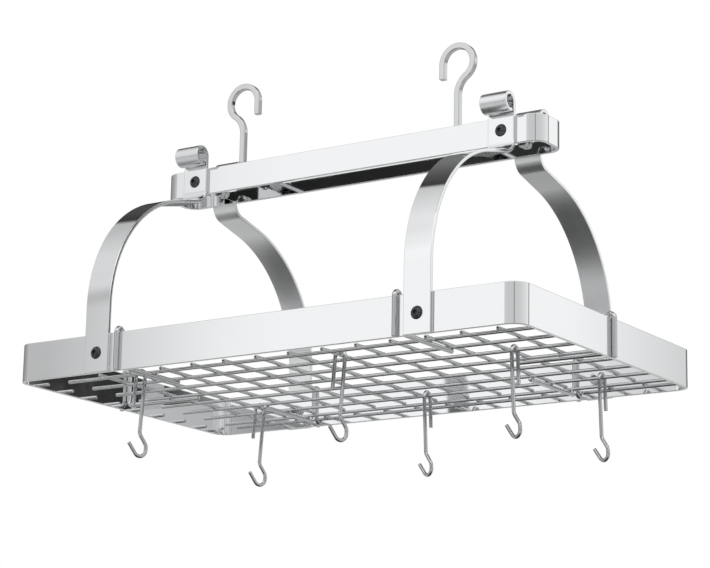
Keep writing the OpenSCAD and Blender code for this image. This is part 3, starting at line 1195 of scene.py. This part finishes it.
@dataclass
class Studio:
    """The white studio, in metres: a pale floor, soft light and the camera below at the right."""

    camera_at: tuple[float, float, float] = (1.72442, -2.61039, -1.05344)
    yaw: float = -33.4344
    pitch: float = 13.5379
    roll: float = 1.0894
    sensor: float = 36.0
    lens: float = 123.25
    lamps: tuple[Softbox, ...] = (
        Softbox("key_softbox", (-1.6, -2.2, 1.5), size=2.4, power=17.0),
        Softbox("fill_softbox", (2.6, 0.4, 0.9), size=2.0, power=8.0),
    )
    floor_z: float = -1.75
    floor_size: float = 60.0
    floor_colour: str = "#eeeeee"
    # Painted shade: the floor's colour for every ray but the camera's, dark under the rack and pale
    # away from it
    painted_floor_shades: tuple[str, str] = ("#3c3c3c", "#f4f4f4")
    # The distances in metres from under the rack between which the painted shade fades into the
    # pale floor
    shade_reach: tuple[float, float] = (0.6, 2.6)
    wall_light: float = 1.26
    # Height above the horizon, in degrees, and how bright the studio is there
    walls_by_height: tuple[tuple[float, float], ...] = (
        (-90.0, 0.25), (-4.0, 0.3), (2.0, 0.6), (8.0, 0.8), (16.0, 0.8), (35.0, 0.88),
        (45.0, 1.0), (62.0, 1.0), (68.0, 0.2), (90.0, 0.2),
    )
    # The bearing from the front towards the right, in degrees, and how bright what stands round
    # the rack is there
    low_by_bearing: tuple[tuple[float, float], ...] = (
        (-180.0, 0.1), (-140.0, 0.1), (-95.0, 0.3), (-60.0, 0.45), (-44.0, 0.58), (-41.5, 0.51),
        (-40.6, 0.53), (-39.0, 0.72), (-37.5, 0.87), (-36.0, 1.0), (-29.5, 1.0), (-26.0, 0.66),
        (0.0, 0.62), (30.0, 0.62), (33.4, 0.04), (37.0, 0.62), (70.0, 0.66), (100.0, 0.75),
        (136.5, 0.9), (138.6, 0.03), (142.8, 0.03), (145.0, 0.9), (150.3, 1.0), (151.8, 1.0),
        (152.5, 0.95), (154.3, 0.7), (160.0, 0.5), (172.0, 0.12), (180.0, 0.1),
    )
    # The same for the walls above it
    high_by_bearing: tuple[tuple[float, float], ...] = (
        (-180.0, 0.42), (-104.0, 0.42), (-91.0, 0.46), (-71.0, 0.55), (-55.0, 0.63),
        (-46.0, 0.7), (-40.0, 0.75), (-38.0, 0.83), (-30.0, 1.0), (60.0, 1.0), (100.0, 0.8),
        (180.0, 0.42),
    )
    # The heights in degrees between which the one gives way to the other
    low_to_high: tuple[float, float] = (20.0, 29.0)
    # The dark doorway at the back left lies past this plane, on the side that it points away from
    doorway_plane: tuple[float, float, float] = (-0.751, -0.477, -0.46)
    # The way past the plane, as a sine, and how bright the studio is there
    doorway: tuple[tuple[float, float], ...] = (
        (-1.0, 0.4), (-0.22, 0.4), (-0.12, 0.2), (-0.012, 0.08), (0.012, 1.0), (1.0, 1.0),
    )

    def build(self) -> None:
        """Set up the camera, the floor, the lamps and the surroundings."""
        self._camera()
        self._floor()
        for lamp in self.lamps:
            lamp.hang()
        self._surroundings()
        bpy.context.scene.view_settings.view_transform = "Standard"

    def _camera(self) -> None:
        """Set the camera to the photograph's place and angle."""
        data = bpy.data.cameras.new("photo_camera")
        data.sensor_fit = "HORIZONTAL"
        data.sensor_width = self.sensor
        data.lens = self.lens
        data.clip_end = self.floor_size
        camera = bpy.data.objects.new("photo_camera", data)
        aim = turned(-self.yaw, "Z") @ turned(90 + self.pitch, "X") @ turned(self.roll, "Z")
        camera.matrix_world = Matrix.Translation(self.camera_at) @ aim
        bpy.context.scene.collection.objects.link(camera)
        bpy.context.scene.camera = camera

    def _floor(self) -> None:
        """Lay a pale floor, with painted shade under the rack that the metal sees."""
        shape = bmesh.new()
        bmesh.ops.create_grid(
            shape, x_segments=1, y_segments=1, size=self.floor_size / 2,
            matrix=moved(0, 0, self.floor_z),
        )
        mesh = bpy.data.meshes.new("pale_floor")
        shape.to_mesh(mesh)
        shape.free()
        made = bpy.data.materials.new("matt_white_floor")
        made.use_nodes = True
        tree = made.node_tree
        shader = tree.nodes["Principled BSDF"]
        shader.inputs["Roughness"].default_value = 0.9
        place = add_node(tree, "ShaderNodeTexCoord")
        level = add_node(
            tree, "ShaderNodeVectorMath", operation="MULTIPLY",
            links={0: place.outputs["Object"]}, values={1: (1.0, 1.0, 0.0)},
        )
        away = add_node(
            tree, "ShaderNodeVectorMath", operation="LENGTH", links={0: level.outputs["Vector"]},
        )
        # Painted shade: the colour darkens smoothly towards the middle under the rack, not cast by
        # any lamp
        nearest, farthest = self.shade_reach
        shaded, open_floor = self.painted_floor_shades
        share = add_node(
            tree, "ShaderNodeMapRange", interpolation_type="SMOOTHSTEP",
            links={"Value": away.outputs["Value"]},
            values={"From Min": nearest, "From Max": farthest},
        )
        shade = add_node(
            tree, "ShaderNodeMix", data_type="RGBA", links={0: share.outputs["Result"]},
            values={6: linear(shaded), 7: linear(open_floor)},
        )
        path = add_node(tree, "ShaderNodeLightPath")
        tone = add_node(
            tree, "ShaderNodeMix", data_type="RGBA",
            links={0: path.outputs["Is Camera Ray"], 6: shade.outputs[2]},
            values={7: linear(self.floor_colour)},
        )
        tree.links.new(tone.outputs[2], shader.inputs["Base Color"])
        mesh.materials.append(made)
        floor = bpy.data.objects.new("pale_floor", mesh)
        bpy.context.scene.collection.objects.link(floor)

    @staticmethod
    def _ramp(
        tree: bpy.types.NodeTree, socket: bpy.types.NodeSocket, reach: float,
        stops: tuple[tuple[float, float], ...], span: float,
    ) -> bpy.types.Node:
        """Turn a value into a grey.

        Args:
            tree: The world's node tree.
            socket: The value, from minus its reach to its reach.
            reach: The value's reach, in the socket's own unit.
            stops: Values and their greys, in linear light.
            span: The value's reach, in the stops' unit.

        Returns:
            The ramp's node.
        """
        share = add_node(
            tree, "ShaderNodeMapRange", links={"Value": socket},
            values={"From Min": -reach, "From Max": reach},
        )
        made = add_node(tree, "ShaderNodeValToRGB", links={"Fac": share.outputs["Result"]})
        ramp = made.color_ramp
        first, *others, last = [((value / span + 1) / 2, grey) for value, grey in stops]
        for element, (position, grey) in zip(ramp.elements, (first, last)):
            element.position = position
            element.color = (grey, grey, grey, 1.0)
        for position, grey in others:
            ramp.elements.new(position).color = (grey, grey, grey, 1.0)
        return made

    def _surroundings(self) -> None:
        """Give the camera a white background, and the metal a studio to reflect."""
        world = bpy.data.worlds.new("white_studio")
        world.use_nodes = True
        tree = world.node_tree
        tree.nodes.clear()
        way = add_node(tree, "ShaderNodeTexCoord")
        split = add_node(tree, "ShaderNodeSeparateXYZ", links={"Vector": way.outputs["Generated"]})
        towards_front = add_node(
            tree, "ShaderNodeMath", operation="MULTIPLY",
            links={0: split.outputs["Y"]}, values={1: -1.0},
        )
        bearing = add_node(
            tree, "ShaderNodeMath", operation="ARCTAN2",
            links={0: split.outputs["X"], 1: towards_front.outputs["Value"]},
        )
        height = add_node(
            tree, "ShaderNodeMath", operation="ARCSINE", links={0: split.outputs["Z"]},
        )
        past_plane = add_node(
            tree, "ShaderNodeVectorMath", operation="DOT_PRODUCT",
            links={0: way.outputs["Generated"]}, values={1: self.doorway_plane},
        )
        to_the_right = add_node(
            tree, "ShaderNodeMapRange", links={"Value": split.outputs["X"]},
            values={"From Min": -0.1, "From Max": 0.0},
        )
        right_angle = math.pi / 2
        up = self._ramp(tree, height.outputs["Value"], right_angle, self.walls_by_height, 90.0)
        low = self._ramp(tree, bearing.outputs["Value"], math.pi, self.low_by_bearing, 180.0)
        high = self._ramp(tree, bearing.outputs["Value"], math.pi, self.high_by_bearing, 180.0)
        lowest, highest = self.low_to_high
        level = add_node(
            tree, "ShaderNodeMapRange", interpolation_type="SMOOTHSTEP",
            links={"Value": height.outputs["Value"]},
            values={"From Min": math.radians(lowest), "From Max": math.radians(highest)},
        )
        round_about = add_node(
            tree, "ShaderNodeMix", data_type="RGBA",
            links={0: level.outputs["Result"], 6: low.outputs["Color"], 7: high.outputs["Color"]},
        )
        doorway = self._ramp(tree, past_plane.outputs["Value"], 1.0, self.doorway, 1.0)
        opened = add_node(
            tree, "ShaderNodeMix", data_type="RGBA",
            links={0: to_the_right.outputs["Result"], 6: doorway.outputs["Color"]},
            values={7: linear("#ffffff")},
        )
        walls = add_node(
            tree, "ShaderNodeMix", data_type="RGBA", blend_type="MULTIPLY",
            links={6: up.outputs["Color"], 7: round_about.outputs[2]}, values={0: 1.0},
        )
        tones = add_node(
            tree, "ShaderNodeMix", data_type="RGBA", blend_type="MULTIPLY",
            links={6: walls.outputs[2], 7: opened.outputs[2]}, values={0: 1.0},
        )
        seen = add_node(
            tree, "ShaderNodeBackground", values={"Color": linear("#ffffff"), "Strength": 1.0},
        )
        lit = add_node(
            tree, "ShaderNodeBackground", links={"Color": tones.outputs[2]},
            values={"Strength": self.wall_light},
        )
        path = add_node(tree, "ShaderNodeLightPath")
        both = add_node(
            tree, "ShaderNodeMixShader",
            links={0: path.outputs["Is Camera Ray"], 1: lit.outputs[0], 2: seen.outputs[0]},
        )
        add_node(tree, "ShaderNodeOutputWorld", links={"Surface": both.outputs[0]})
        bpy.context.scene.world = world


def main() -> None:
    """Build the rack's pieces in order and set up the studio."""
    logging.basicConfig(level=logging.INFO, format="%(message)s")
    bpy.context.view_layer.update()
    finishes = Finishes()
    finishes.build()
    FlatRing(
        "basket_band", length=RACK.band_l, width=RACK.band_w, height=RACK.band_h,
        corner_r=21.4, lift=0.0,
    ).build(finishes)
    FlatRing(
        "top_bar", length=RACK.bar_l, width=RACK.bar_w, height=RACK.bar_h,
        corner_r=21.0, lift=RACK.bar_lift,
    ).build(finishes)
    Arms().build(finishes)
    Fasteners().build(finishes)
    Grid().build(finishes)
    GridClips().build(finishes)
    CeilingHooks().build(finishes)
    PotHooks().build(finishes)
    BridgePlates().build(finishes)
    Studio().build()


if __name__ == "__main__":
    main()
